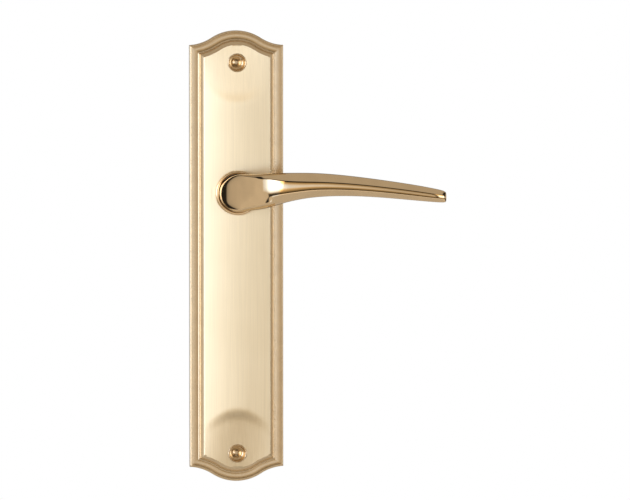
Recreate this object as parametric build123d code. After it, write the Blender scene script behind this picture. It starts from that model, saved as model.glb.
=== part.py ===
from build123d import *
import math
import os

# Lever handle on a long shaped backplate, for one side of a door. Millimetres.
# X runs along the lever, +Y into the door, +Z up. The door face is the plane Y = 0
# and the origin is where the spindle axis crosses it. Heights off the door are
# called "height" below and run along -Y.

# ---- driving sizes: backplate -------------------------------------------------
plate_width = 50.0
plate_height = 240.0
axis_below_top = 86.0
end_rise = 7.75
end_start_slope = 3.0
end_hollow_reach = 12.1
plate_wall = 1.5
rim_height = 4.4
bead_inset = 0.9
bead_height = 5.0
quirk_inset = 1.6
band_height = 5.1
ridge_inset = 4.4
ridge_width = 0.8
ridge_height = 5.9
panel_inset = 7.0
panel_foot_inset = 5.4
panel_edge_height = 8.2
panel_crown = 1.6
crown_power = 6

# ---- driving sizes: fixing screws and their cups ------------------------------
top_screw_drop = 17.0
bottom_screw_rise = 15.0
cup_room = 1.4
cup_wall = 0.45
cup_lip_width = 0.7
cup_lip_height = 0.55
cup_floor_height = 3.4
cup_stand_off = 0.2
screw_radius = 1.5
screw_neck_relief = 0.2
screw_head_radius = 2.85
screw_head_crown = 0.7
screw_length = 26.0
screw_plain_length = 9.0
recess_width = 0.75
recess_reach = 1.75
recess_depth = 1.6

# ---- driving sizes: neck bearing ----------------------------------------------
journal_radius = 7.5
journal_end_land = 0.5
neck_shoulder = 2.5
bush_wall = 1.45
bush_flange = 1.0
bush_seat_rise = 0.4
spigot_wall = 1.4
collar_wall = 1.5
collar_rise = 4.0
collar_edge = 0.7
collar_seat_height = 8.8
hub_wall = 2.2
hub_face_height = 7.1
lock_ring_width = 1.8
lock_ring_thickness = 0.8
running_clearance = 0.05
seat_clearance = 0.05
free_clearance = 0.3

# ---- driving sizes: return spring cassette ------------------------------------
housing_depth = 5.4
housing_sheet = 0.8
housing_corner = 1.0
ear_reach = 4.4
ear_radius = 4.6
cover_sheet = 0.8
pillar_radius = 2.4
housing_screw_radius = 1.25
housing_screw_head_radius = 2.3
housing_screw_head_height = 0.85
housing_screw_grip = 3.2
strip_thickness = 0.8
strip_width = 2.4
spring_turns = 2.5
spring_pitch = 1.5
spring_room = 1.0
spring_angle = 45.0
cam_lug_angle = -60.0
spring_bend_radius = 1.5
cam_thickness = 1.0
cam_running_gap = 0.2
cam_wall = 3.1
cam_lug_length = 4.0
cam_lug_half_angle = 11.0
cam_flat_depth = 1.3
cam_tab_inset = 1.4
cam_tab_width = 1.2
cam_tab_height = 1.9
stop_pin_radius = 1.25
stop_pin_inset = 1.2
lever_travel = 40.0
thrust_washer_width = 4.0
thrust_washer_thickness = 0.5
disc_spring_width = 3.3
disc_spring_sheet = 0.3
disc_spring_dish = 0.25
retaining_ring_width = 2.7
retaining_ring_thickness = 1.0
groove_depth = 0.6

# ---- driving sizes: lever and spindle -----------------------------------------
lever_reach = 107.7
lever_projection = 51.1
grip_back_height = 40.6
front_return = 8.0
back_return = 3.1
grip_start = 31.0
grip_low = -1.3
grip_high = 12.3
tip_low = -3.9
tip_high = 0.6
spindle_width = 8.0
spindle_length = 85.0
spindle_depth_in_lever = 18.0
spindle_clearance = 0.05
grub_screw_radius = 2.0
grub_screw_height = 15.3
grub_screw_recess = 0.9
hex_key_width = 2.0
hex_key_depth = 2.0

# ---- sizes worked out from the driving sizes ----------------------------------
half_width = plate_width / 2
plate_centre_z = axis_below_top - plate_height / 2
shoulder_z = plate_height / 2 - end_rise
panel_half_height = plate_height / 2 - panel_inset
panel_half_width = half_width - panel_inset
screw_stations = (
    axis_below_top - top_screw_drop,
    axis_below_top - plate_height + bottom_screw_rise,
)
cup_seat_height = panel_edge_height - 0.1
cup_bore_radius = screw_head_radius + cup_room
cup_outer_radius = cup_bore_radius + cup_wall
cup_lip_radius = cup_bore_radius + cup_lip_width

neck_radius = journal_radius + neck_shoulder
bush_radius = journal_radius + running_clearance + bush_wall
spigot_radius = bush_radius + spigot_wall
collar_bore_radius = neck_radius + free_clearance
collar_radius = collar_bore_radius + collar_wall
hub_radius = collar_radius + hub_wall
lock_ring_radius = spigot_radius + lock_ring_width
collar_front_height = collar_seat_height + collar_rise
bush_seat_height = collar_seat_height + bush_seat_rise
lever_shoulder_height = bush_seat_height + bush_flange + running_clearance
housing_face_height = hub_face_height - housing_sheet
spigot_tail_height = housing_face_height - lock_ring_thickness

cam_radius = journal_radius + cam_wall
cam_lug_radius = cam_radius + cam_lug_length
cam_tab_radius = cam_radius - cam_tab_inset
cam_half_flat = journal_radius - cam_flat_depth
spring_halves = round(spring_turns * 2)
spring_tail_radius = cam_tab_radius + cam_tab_width / 2 + 0.1
spring_radius = spring_tail_radius + spring_bend_radius + (spring_halves - 1) * spring_pitch / 2
housing_bore_radius = spring_radius + strip_thickness / 2 + spring_room
housing_radius = housing_bore_radius + housing_sheet
ear_stations = (housing_radius + ear_reach, -housing_radius - ear_reach)
stop_pin_circle = cam_lug_radius - stop_pin_inset

housing_rim_height = hub_face_height - housing_depth
cover_back_height = housing_rim_height - cover_sheet
cam_back_height = housing_rim_height + cam_running_gap
cam_front_height = cam_back_height + cam_thickness
spring_low_height = cam_front_height + 0.1
thrust_washer_back = cover_back_height - seat_clearance - thrust_washer_thickness
disc_spring_front = thrust_washer_back - seat_clearance
ring_front_height = disc_spring_front - disc_spring_dish - disc_spring_sheet - seat_clearance
ring_back_height = ring_front_height - retaining_ring_thickness
journal_end_height = ring_back_height - journal_end_land

os.makedirs("parts", exist_ok=True)


def at(x, height, z):
    """A point by its place across the door, its height off the door and its level."""
    return Vector(x, -height, z)


def save(shape, name):
    """Write one named sub-part."""
    export_step(shape, "parts/" + name + ".step")


def turned(*profile):
    """A turned piece about the spindle axis, from (radius, height) corners."""
    corners = [at(r, height, 0) for r, height in profile]
    section = Face(Wire([Line(a, b).edge() for a, b in zip(corners, corners[1:] + corners[:1])]))
    return revolve(section, Axis.Y)


def about_spindle(angle):
    """A turn about the spindle axis, from +X towards +Z."""
    return Rot(0, -angle, 0)


def disc(radius, low, high, x=0.0, z=0.0):
    """A cylinder square to the door between two heights."""
    return extrude(Plane(at(x, low, z), z_dir=(0, -1, 0)) * Circle(radius), high - low)


def block(x0, x1, low, high, z0, z1):
    """A block between two places on each axis."""
    centre = at((x0 + x1) / 2, (low + high) / 2, (z0 + z1) / 2)
    return Pos(centre) * Box(abs(x1 - x0), abs(high - low), abs(z1 - z0))


# ---- backplate ----------------------------------------------------------------
def outline(inset, height):
    """The plate's shaped outline, moved inwards by an inset, as a wire at one height."""
    slope = math.radians(end_start_slope)
    # the slope where the hollow arc meets the crown arc, from the rise that both share
    start_share = math.tan(slope / 2)
    crown_reach = half_width - end_hollow_reach
    whole = half_width + end_rise * start_share
    rise_left = end_rise - end_hollow_reach * start_share
    root = math.sqrt(whole**2 - 4 * crown_reach * start_share * rise_left)
    joint = 2 * math.atan(2 * rise_left / (whole + root))
    hollow_radius = end_hollow_reach / (math.sin(joint) - math.sin(slope))
    crown_radius = crown_reach / math.sin(joint)
    hollow_x = half_width + hollow_radius * math.sin(slope)
    hollow_z = shoulder_z + hollow_radius * math.cos(slope)
    crown_z = plate_height / 2 - crown_radius
    hollow = hollow_radius + inset
    crown = crown_radius - inset
    corner_angle = math.asin((hollow_x - half_width + inset) / hollow)

    def hollow_point(side, end, angle):
        x = hollow_x - hollow * math.sin(angle)
        return at(side * x, height, plate_centre_z + end * (hollow_z - hollow * math.cos(angle)))

    def crown_point(side, end, angle):
        x = crown * math.sin(angle)
        return at(side * x, height, plate_centre_z + end * (crown_z + crown * math.cos(angle)))

    edges = []
    for end in (1, -1):
        side = end
        middle_angle = (corner_angle + joint) / 2
        corner = hollow_point(side, end, corner_angle)
        other = hollow_point(-side, end, corner_angle)
        start = crown_point(side, end, joint)
        finish = crown_point(-side, end, joint)
        edges += [
            ThreePointArc(corner, hollow_point(side, end, middle_angle), start),
            ThreePointArc(start, crown_point(side, end, 0), finish),
            ThreePointArc(finish, hollow_point(-side, end, middle_angle), other),
            Line(other, hollow_point(-side, -end, corner_angle)),
        ]
    return Wire([line.edge() for line in edges])


def tier(inset_low, low, inset_high, high):
    """One step of the moulding: the outline at one inset and height lofted to the next."""
    return Solid.make_loft([outline(inset_low, low), outline(inset_high, high)], ruled=True)


def crowned_block(drop):
    """A long block whose top is crowned across the plate and dies away at both ends."""
    reach = panel_half_height + 2.0
    span = panel_half_width + 4.0
    sections = []
    for share in (-1.0, -0.88, -0.72, -0.45, 0.0, 0.45, 0.72, 0.88, 1.0):
        z = plate_centre_z + share * reach
        fade = 1 - abs(share) ** crown_power
        edge = panel_edge_height - drop - panel_crown * fade * ((span / panel_half_width) ** 2 - 1)
        top = panel_edge_height - drop + panel_crown * fade
        base = rim_height - 3.0
        left, right = at(-span, edge, z), at(span, edge, z)
        foot_left, foot_right = at(-span, base, z), at(span, base, z)
        arc = ThreePointArc(left, at(0, top + 0.001, z), right)
        sides = [Line(right, foot_right), Line(foot_right, foot_left), Line(foot_left, left)]
        sections.append(Wire([arc.edge()] + [line.edge() for line in sides]))
    return Solid.make_loft(sections, ruled=False)


def make_face_plate():
    """Forged brass plate: moulded border, crowned panel, hollow back, hub and screw holes."""
    ridge_inner = ridge_inset + ridge_width
    body = tier(0, 0, 0, rim_height)
    rim_bead = tier(0, rim_height, 0.15, rim_height + 0.35) + tier(
        0.15, rim_height + 0.35, bead_inset - 0.2, bead_height
    )
    rim_bead -= tier(quirk_inset - 0.2, rim_height, bead_inset + 0.15, bead_height)
    body += rim_bead
    body += tier(quirk_inset, rim_height, quirk_inset + 0.2, band_height - 0.15)
    body += tier(quirk_inset + 0.2, band_height - 0.15, ridge_inset - 0.3, band_height)
    ridge = tier(ridge_inset - 0.2, band_height - 0.1, ridge_inset + 0.1, ridge_height)
    ridge -= tier(ridge_inner + 0.1, band_height - 0.1, ridge_inset + 0.5, ridge_height)
    body += ridge
    # the ovolo that rises from the groove to the panel
    rise = panel_edge_height - band_height
    run = panel_inset - panel_foot_inset
    foot = (panel_foot_inset, band_height - 0.3)
    for turn in (30, 60, 90):
        step_inset = panel_foot_inset + run * (1 - math.cos(math.radians(turn)))
        step_height = band_height + rise * math.sin(math.radians(turn))
        body += tier(*foot, step_inset, step_height)
        foot = (step_inset, step_height)
    lift = panel_crown + 1.0
    panel_blank = tier(panel_inset, rim_height - 1, panel_inset, panel_edge_height + lift)
    body += panel_blank & crowned_block(0)
    # the hollow back follows the front at the wall's thickness
    hollow_inset = panel_foot_inset + plate_wall * 0.55
    ceiling_inset = panel_inset + plate_wall * 0.5
    hollow = tier(plate_wall, -1, plate_wall, rim_height - plate_wall + 0.4)
    hollow += tier(hollow_inset, 0, hollow_inset, rim_height - plate_wall + 0.4)
    slope = tier(
        hollow_inset,
        rim_height - plate_wall + 0.4,
        ceiling_inset,
        panel_edge_height - plate_wall,
    )
    ceiling = tier(ceiling_inset, 1, ceiling_inset, panel_edge_height + lift)
    hollow += slope
    hollow += ceiling & crowned_block(plate_wall)
    body -= hollow
    # the round hub that the neck bearing seats in
    body += disc(hub_radius, hub_face_height, collar_seat_height + 0.1)
    front = panel_edge_height + lift
    body -= disc(collar_radius + seat_clearance, collar_seat_height, front)
    body -= disc(spigot_radius + seat_clearance, 0, front)
    for z in screw_stations:
        body -= disc(cup_lip_radius + seat_clearance, cup_seat_height, front, z=z)
        body -= disc(cup_outer_radius + seat_clearance, 0, front, z=z)
    return body


def panel_height(x, z):
    """The height of the crowned panel over the door at one place."""
    share = abs(z - plate_centre_z) / (panel_half_height + 2.0)
    fade = 1 - share**crown_power
    return panel_edge_height + panel_crown * fade * (1 - (x / panel_half_width) ** 2)


face_plate = make_face_plate()
save(face_plate, "face_plate")


# ---- fixing screws and their cups ---------------------------------------------
def make_screw_cup(z):
    """A drawn brass cup with a rolled lip and a countersunk seat for the screw."""
    lip_top = cup_seat_height + cup_lip_height
    lip_middle = (cup_lip_radius + cup_bore_radius) / 2
    head_rim = screw_head_radius + 0.15
    taper_height = cup_floor_height + 1.2
    cup = turned(
        (cup_lip_radius, cup_seat_height),
        (cup_lip_radius, lip_top - 0.25),
        (lip_middle + 0.12, lip_top),
        (lip_middle - 0.12, lip_top),
        (cup_bore_radius, lip_top - 0.3),
        (cup_bore_radius - 0.2, taper_height),
        (head_rim, cup_floor_height),
        (screw_radius + 0.1, cup_floor_height - head_rim + screw_radius + 0.1),
        (screw_radius + 0.1, cup_stand_off),
        (head_rim, cup_stand_off),
        (cup_outer_radius, taper_height),
        (cup_outer_radius, cup_seat_height),
    )
    return Pos(0, 0, z) * cup


def make_fixing_screw(z):
    """A raised countersunk wood screw: relieved neck, plain shank, core and cross recess."""
    rim = cup_floor_height - 0.15 + seat_clearance
    core = screw_radius * 0.72
    neck = screw_radius - screw_neck_relief
    tip = rim - screw_length
    plain = rim - screw_plain_length
    top = rim + screw_head_crown
    screw = turned(
        (0, top),
        (screw_head_radius * 0.6, top - screw_head_crown * 0.3),
        (screw_head_radius, rim),
        (neck, rim - screw_head_radius + neck),
        (neck, 0),
        (screw_radius, 0),
        (screw_radius, plain),
        (core, plain - 0.5),
        (core, tip + 4),
        (0, tip),
    )
    half = recess_width / 2
    slot = block(-recess_reach, recess_reach, top - recess_depth, top + 1, -half, half)
    for turn in (45, 135):
        screw -= Rot(0, turn, 0) * slot
    screw -= turned((0, top + 1), (recess_width, top + 1), (recess_width, top - 0.8), (0, top - 2.4))
    return Pos(0, 0, z) * screw


save(Compound(children=[make_screw_cup(z) for z in screw_stations]), "screw_cups")
save(Compound(children=[make_fixing_screw(z) for z in screw_stations]), "fixing_screws")


# ---- neck bearing -------------------------------------------------------------
def make_neck_collar():
    """Turned brass collar: a rounded ring on the panel and a spigot through the hub."""
    edge = collar_edge
    return turned(
        (collar_radius, collar_seat_height),
        (collar_radius, collar_front_height - edge),
        (collar_radius - edge * 0.3, collar_front_height - edge * 0.3),
        (collar_radius - edge, collar_front_height),
        (collar_bore_radius, collar_front_height),
        (collar_bore_radius, bush_seat_height),
        (bush_radius, bush_seat_height),
        (bush_radius, spigot_tail_height),
        (spigot_radius, spigot_tail_height),
        (spigot_radius, collar_seat_height),
    )


def make_neck_bush():
    """Flanged nylon bush that the lever's journal turns in."""
    bore = journal_radius + running_clearance
    flange = neck_radius
    return turned(
        (bore, spigot_tail_height),
        (bush_radius, spigot_tail_height),
        (bush_radius, bush_seat_height),
        (flange, bush_seat_height),
        (flange, bush_seat_height + bush_flange),
        (bore, bush_seat_height + bush_flange),
    )


def make_lock_ring():
    """Push-on steel ring with spring teeth that clamps the cassette on the spigot."""
    bore = spigot_radius + 2 * seat_clearance
    ring = turned(
        (bore, spigot_tail_height),
        (lock_ring_radius, spigot_tail_height),
        (lock_ring_radius, housing_face_height),
        (bore, housing_face_height),
    )
    slit_end = lock_ring_radius - lock_ring_width / 3
    slit = block(0, slit_end, spigot_tail_height, housing_face_height, -0.3, 0.3)
    for turn in range(8):
        ring -= Rot(0, turn * 45 + 22.5, 0) * slit
    return ring


save(make_neck_collar(), "neck_collar")
save(make_neck_bush(), "neck_bush")
save(make_lock_ring(), "collar_lock_ring")


# ---- return spring cassette ---------------------------------------------------
def ears(low, high):
    """The two screw ears above and below the cassette."""
    shape = None
    for z in ear_stations:
        inner = math.copysign(housing_bore_radius + housing_sheet / 2, z)
        ear = disc(ear_radius, low, high, z=z)
        ear += block(-ear_radius, ear_radius, low, high, min(inner, z), max(inner, z))
        shape = ear if shape is None else shape + ear
    return shape


def make_spring_housing():
    """Pressed steel cup behind the hub, with ears, and a slot for the spring's leg."""
    cup = disc(housing_radius, housing_rim_height, hub_face_height)
    rim = cup.edges().filter_by(GeomType.CIRCLE).group_by(Axis.Y)[0]
    cup = chamfer(rim, housing_corner)
    cup += ears(housing_rim_height, housing_rim_height + housing_sheet)
    cup -= disc(housing_bore_radius, housing_rim_height - 1, housing_face_height)
    cup -= disc(spigot_radius + seat_clearance, 0, hub_face_height + 1)
    for z in ear_stations:
        cup -= disc(housing_screw_radius + 0.15, 0, hub_face_height, z=z)
    leg_line = -spring_bend_radius
    half_slot = strip_thickness / 2 + 0.25
    slot = block(
        -housing_radius - 1,
        -spring_radius - 0.6,
        spring_low_height - 0.25,
        spring_low_height + strip_width + 0.25,
        leg_line - half_slot,
        leg_line + half_slot,
    )
    return cup - about_spindle(spring_angle) * slot


def make_return_spring():
    """Flat steel strip wound in a spiral, one end out through the cup's wall, one in to the cam."""
    half = strip_thickness / 2
    bend = spring_bend_radius
    step = spring_pitch / 2
    edges = []
    ends = {}
    for offset in (half, -half):
        # an eye at the cup's wall: a straight end and a quarter bend on to the coil
        eye = -spring_radius - bend
        sweep_in = bend - offset
        slant = sweep_in * math.sqrt(0.5)
        tip = Vector(-housing_radius - housing_sheet, -sweep_in)
        foot = Vector(eye, -sweep_in)
        start = Vector(eye + sweep_in, 0)
        rail = [Line(tip, foot), ThreePointArc(foot, Vector(eye + slant, -slant), start)]
        for index in range(spring_halves):
            side = -1 if index % 2 == 0 else 1
            centre = 0 if index % 2 == 0 else step
            radius = spring_radius - index * step + offset
            first, last = Vector(centre + side * radius, 0), Vector(centre - side * radius, 0)
            rail.append(ThreePointArc(first, Vector(centre, -side * radius), last))
        # a quarter bend inwards and a straight end that the cam's tab pushes on
        turn_x = last.X - offset - bend
        sweep_out = bend + offset
        slant = sweep_out * math.sqrt(0.5)
        corner = Vector(turn_x, -sweep_out)
        rail.append(ThreePointArc(last, Vector(turn_x + slant, -slant), corner))
        rail.append(Line(corner, Vector(cam_tab_radius - 0.5, -sweep_out)))
        edges += rail
        ends[offset] = (tip, rail[-1] @ 1)
    edges.append(Line(ends[half][0], ends[-half][0]))
    edges.append(Line(ends[half][1], ends[-half][1]))
    strip = extrude(Face(Wire([line.edge() for line in edges])), strip_width, dir=(0, 0, 1))
    stand = Pos(at(0, spring_low_height, 0)) * Rot(90, 0, 0)
    return about_spindle(spring_angle) * stand * strip


def make_housing_cover():
    """Flat steel cover over the cassette, with the ears, the neck hole and the pin holes."""
    cover = disc(housing_radius, cover_back_height, housing_rim_height)
    cover += ears(cover_back_height, housing_rim_height)
    cut_from = cover_back_height - 1
    cut_to = housing_rim_height + 1
    cover -= disc(journal_radius + free_clearance, cut_from, cut_to)
    for z in ear_stations:
        cover -= disc(housing_screw_radius + 0.15, cut_from, cut_to, z=z)
    for angle in stop_pin_angles():
        cover -= about_spindle(angle) * disc(stop_pin_radius, cut_from, cut_to, x=stop_pin_circle)
    return cover


def stop_pin_angles():
    """Where the two stop pins stand so that the cam's lug meets them at each end."""
    touch = math.degrees(math.asin((stop_pin_radius + free_clearance) / stop_pin_circle))
    reach = cam_lug_half_angle + touch
    return (cam_lug_angle + reach, cam_lug_angle - lever_travel - reach)


def make_stop_pin(angle):
    """A steel pin riveted in the cover, flush behind and standing up beside the cam."""
    pin = disc(stop_pin_radius, cover_back_height, cam_front_height - 0.1, x=stop_pin_circle)
    return about_spindle(angle) * pin


def make_drive_cam():
    """Flat steel cam with a double-D hole, a stop lug and a tab that drives the spring."""
    cam = disc(cam_radius, cam_back_height, cam_front_height)
    lug = disc(cam_lug_radius, cam_back_height, cam_front_height)
    wedge_reach = cam_lug_radius + 2
    cut_from = cam_back_height - 1
    cut_to = cam_front_height + 1
    for side in (1, -1):
        cutter = block(-wedge_reach, wedge_reach, cut_from, cut_to, 0, wedge_reach * side)
        lug -= about_spindle(side * cam_lug_half_angle) * cutter
    lug -= block(-wedge_reach, 0, cut_from, cut_to, -wedge_reach, wedge_reach)
    cam += about_spindle(cam_lug_angle) * lug
    side_line = -spring_bend_radius + strip_thickness / 2 + 0.05
    tab = block(
        cam_tab_radius - cam_tab_width / 2,
        cam_tab_radius + cam_tab_width / 2,
        cam_back_height,
        cam_front_height + cam_tab_height,
        side_line,
        side_line + cam_thickness,
    )
    cam += about_spindle(spring_angle) * tab
    hole = disc(journal_radius + seat_clearance, cut_from, cut_to)
    half_flat = cam_half_flat + seat_clearance
    hole &= block(-journal_radius - 1, journal_radius + 1, cut_from, cut_to, -half_flat, half_flat)
    return cam - hole


def make_pillar(z):
    """A tapped brass pillar brazed behind the panel."""
    end_side = z + math.copysign(pillar_radius, z - plate_centre_z)
    top = panel_height(pillar_radius, end_side) - plate_wall - 0.04
    pillar = disc(pillar_radius, housing_rim_height + housing_sheet, top, z=z)
    tap_end = cover_back_height + housing_screw_grip + 0.6
    return pillar - disc(housing_screw_radius, cover_back_height, tap_end, z=z)


def make_housing_screw(z):
    """A slotted pan head machine screw through the cover and the ear into the pillar."""
    head_top = cover_back_height - housing_screw_head_height
    screw = disc(housing_screw_head_radius, head_top, cover_back_height, z=z)
    rim = screw.edges().filter_by(GeomType.CIRCLE).group_by(Axis.Y)[-1]
    screw = chamfer(rim, housing_screw_head_height * 0.35)
    screw += disc(housing_screw_radius - 0.05, cover_back_height, cover_back_height + housing_screw_grip, z=z)
    slot_half = 0.3
    slot = block(-3, 3, head_top - 1, head_top + 0.4, z - slot_half, z + slot_half)
    return screw - slot


def make_thrust_washer():
    """Nylon washer between the cover and the disc spring."""
    front = thrust_washer_back + thrust_washer_thickness
    washer = disc(journal_radius + thrust_washer_width, thrust_washer_back, front)
    return washer - disc(journal_radius + 0.1, thrust_washer_back, front)


def make_disc_spring():
    """Shallow conical spring washer that takes up the end play."""
    bore = journal_radius + 0.1
    low = disc_spring_front - disc_spring_sheet
    return turned(
        (bore, low - disc_spring_dish),
        (journal_radius + disc_spring_width, low),
        (journal_radius + disc_spring_width, disc_spring_front),
        (bore, disc_spring_front - disc_spring_dish),
    )


def make_retaining_ring():
    """External retaining ring with a gap and two plier holes."""
    back, front = ring_back_height, ring_front_height
    outer = journal_radius + retaining_ring_width
    band = journal_radius + retaining_ring_width / 2
    ring = disc(band, back, front)
    eyes = [about_spindle(-90 + side * 19) for side in (1, -1)]
    for eye in eyes:
        ring += eye * disc(retaining_ring_width, back, front, x=band - 0.6)
    for eye in eyes:
        ring -= eye * disc(0.8, back, front, x=band - 0.2)
    ring -= disc(journal_radius - groove_depth + seat_clearance, back, front)
    return ring - block(-1.2, 1.2, back, front, -outer - 3, 0)


save(make_spring_housing(), "spring_housing")
save(make_return_spring(), "return_spring")
save(make_housing_cover(), "housing_cover")
save(Compound(children=[make_stop_pin(angle) for angle in stop_pin_angles()]), "stop_pins")
save(make_drive_cam(), "drive_cam")
save(Compound(children=[make_pillar(z) for z in ear_stations]), "housing_pillars")
save(Compound(children=[make_housing_screw(z) for z in ear_stations]), "housing_screws")
save(make_thrust_washer(), "thrust_washer")
save(make_disc_spring(), "disc_spring")
save(make_retaining_ring(), "retaining_ring")


# ---- lever --------------------------------------------------------------------
def station(front, back, low, high, facet, lower=0.0, upper=0.0):
    """One section of the forging, as a closed wire of five Bezier curves.

    front and back are its two edges in plan, each a (reach, height) pair, low and high
    are the levels of its lower and upper edge, and facet runs from 0, where the section
    is round, to 1, where its front is a flat face between two arrises. lower and upper
    are the levels of those arrises, as shares of the section's half height.
    """
    middle_level = (high + low) / 2
    half_level = (high - low) / 2
    quarter = 4 / 3 * math.tan(math.pi / 8) * (1 + 0.14 * facet)

    def place(across, level):
        reach = (front[0] * (1 + across) + back[0] * (1 - across)) / 2
        height = (front[1] * (1 + across) + back[1] * (1 - across)) / 2
        return at(reach, height, middle_level + half_level * level)

    def blend(plain, cut):
        return [a + (b - a) * facet for a, b in zip(plain, cut)]

    def flank(side, arris):
        """The curve from one arris back to the section's upper or lower edge."""
        handle = 4 / 3 * math.tan(math.pi / 16)
        start = blend((corner, side * corner), (1, arris))
        leave = blend(
            (corner * (1 - handle), side * corner * (1 + handle)),
            (0.72, (side + arris) / 2),
        )
        arrive = blend((handle, side), (0.45, side))
        return [place(*point) for point in (start, leave, arrive, (0, side))]

    # a round section's front is a quarter of the circle between the arrises
    corner = math.sqrt(0.5)
    reach_out = corner * (1 + quarter)
    reach_up = corner * (1 - quarter)
    third = (upper - lower) / 3
    upper_flank = flank(1, upper)
    lower_flank = flank(-1, lower)
    low_in = place(*blend((reach_out, -reach_up), (1.03, lower + third)))
    high_in = place(*blend((reach_out, reach_up), (1.03, upper - third)))
    face = [lower_flank[0], low_in, high_in, upper_flank[0]]
    top_back = [place(0, 1), place(-quarter, 1), place(-1, quarter), place(-1, 0)]
    low_back = [place(-1, 0), place(-1, -quarter), place(-quarter, -1), place(0, -1)]
    curves = (face, upper_flank, top_back, low_back, lower_flank[::-1])
    return Wire([Bezier(*points).edge() for points in curves])


def elbow_station(front, back, lower_share, upper_share, facet):
    """A section of the elbow. Each share runs from 0 at the neck to 1 at the grip's start."""
    front_reach = -neck_radius + front[0] * (grip_start + neck_radius)
    front_height = collar_front_height + front[1] * (lever_projection - collar_front_height)
    back_reach = neck_radius + back[0] * (grip_start - neck_radius)
    back_height = collar_front_height + back[1] * (grip_back_height - collar_front_height)
    low = -neck_radius + lower_share * (grip_low + neck_radius)
    high = neck_radius + upper_share * (grip_high - neck_radius)
    arrises = (-0.3, 0.3 + 0.1 * upper_share)
    return station((front_reach, front_height), (back_reach, back_height), low, high, facet, *arrises)


def grip_station(share, low, high, lower, upper, slimming=0.0):
    """A section of the grip, from the elbow's end at share 0 to the tip at share 1."""
    reach = grip_start + share * (lever_reach - grip_start)
    front = lever_projection - front_return * share**2 - slimming
    back = grip_back_height - back_return * share**2 + slimming
    return station((reach, front), (reach, back), low, high, 1, lower, upper)


def make_lever_handle():
    """Forged brass lever: round neck, swan-neck elbow, tapering grip with two front arrises."""
    base = collar_front_height
    neck = neck_radius
    stations = [
        station((-neck, base), (neck, base), -neck, neck, 0),
        elbow_station((0.0, 0.03), (0.0, 0.03), 0.0, 0.0, 0),
        elbow_station((0.044, 0.193), (0.0, 0.122), 0.01, 0.09, 0.4),
        elbow_station((0.18, 0.402), (0.029, 0.331), 0.06, 0.35, 0.8),
        elbow_station((0.349, 0.65), (0.167, 0.629), 0.23, 0.61, 1),
        elbow_station((0.517, 0.872), (0.429, 0.838), 0.47, 0.85, 1),
        elbow_station((0.732, 0.982), (0.729, 0.932), 0.77, 0.96, 1),
        grip_station(0.0, grip_low, grip_high, -0.33, 0.42),
        grip_station(0.18, grip_low + 1.2, grip_high - 0.5, -0.27, 0.3),
        grip_station(0.42, grip_low + 0.9, grip_high - 2.7, -0.27, 0.12),
        grip_station(0.7, tip_low + 1.5, tip_high + 5.8, -0.36, 0.0),
        grip_station(0.95, tip_low - 0.2, tip_high + 2.0, -0.4, -0.04),
        grip_station(1.0, tip_low, tip_high, -0.3, 0.0, 1.0),
    ]
    lever = Solid.make_loft(stations, ruled=False)
    lever += extrude(Face(stations[0]), base - lever_shoulder_height, dir=(0, 1, 0))
    journal = disc(journal_radius, journal_end_height, base)
    flats_end = cam_front_height + 0.2
    reach = journal_radius + 1
    for side in (1, -1):
        journal -= block(-reach, reach, journal_end_height, flats_end, cam_half_flat * side, reach * side)
    groove_low, groove_high = ring_back_height - seat_clearance, ring_front_height + seat_clearance
    groove = disc(reach, groove_low, groove_high)
    groove -= disc(journal_radius - groove_depth, groove_low, groove_high)
    journal -= groove
    lever += journal
    half = spindle_width / 2 + spindle_clearance
    lever -= block(-half, half, journal_end_height - 1, spindle_depth_in_lever + 0.1, -half, half)
    screw_hole = Cylinder(grub_screw_radius + seat_clearance, neck_radius)
    lever -= Pos(at(0, grub_screw_height, 1 - half - neck_radius / 2)) * screw_hole
    return lever


def make_spindle():
    """Square steel spindle with chamfered ends."""
    half = spindle_width / 2
    top = spindle_depth_in_lever
    bar = block(-half, half, top - spindle_length, top, -half, half)
    ends = bar.faces().sort_by(Axis.Y)
    return chamfer(ends[0].edges() + ends[-1].edges(), 0.6)


def make_grub_screw():
    """Socket set screw under the neck that holds the lever on the spindle."""
    top = -spindle_width / 2 - 0.02
    low = -neck_radius + grub_screw_recess
    length = top - low
    screw = Pos(0, 0, (top + low) / 2) * Cylinder(grub_screw_radius, length)
    screw = chamfer(screw.edges().filter_by(GeomType.CIRCLE), 0.4)
    socket = Pos(0, 0, low) * extrude(RegularPolygon(hex_key_width / 2, 6, major_radius=False), hex_key_depth)
    return Pos(at(0, grub_screw_height, 0)) * (screw - socket)


save(make_lever_handle(), "lever_handle")
save(make_spindle(), "spindle")
save(make_grub_screw(), "grub_screw")
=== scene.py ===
import math

import bmesh
import bpy
from bpy.props import FloatProperty, FloatVectorProperty, IntProperty, PointerProperty
from mathutils import Matrix, Vector


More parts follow.
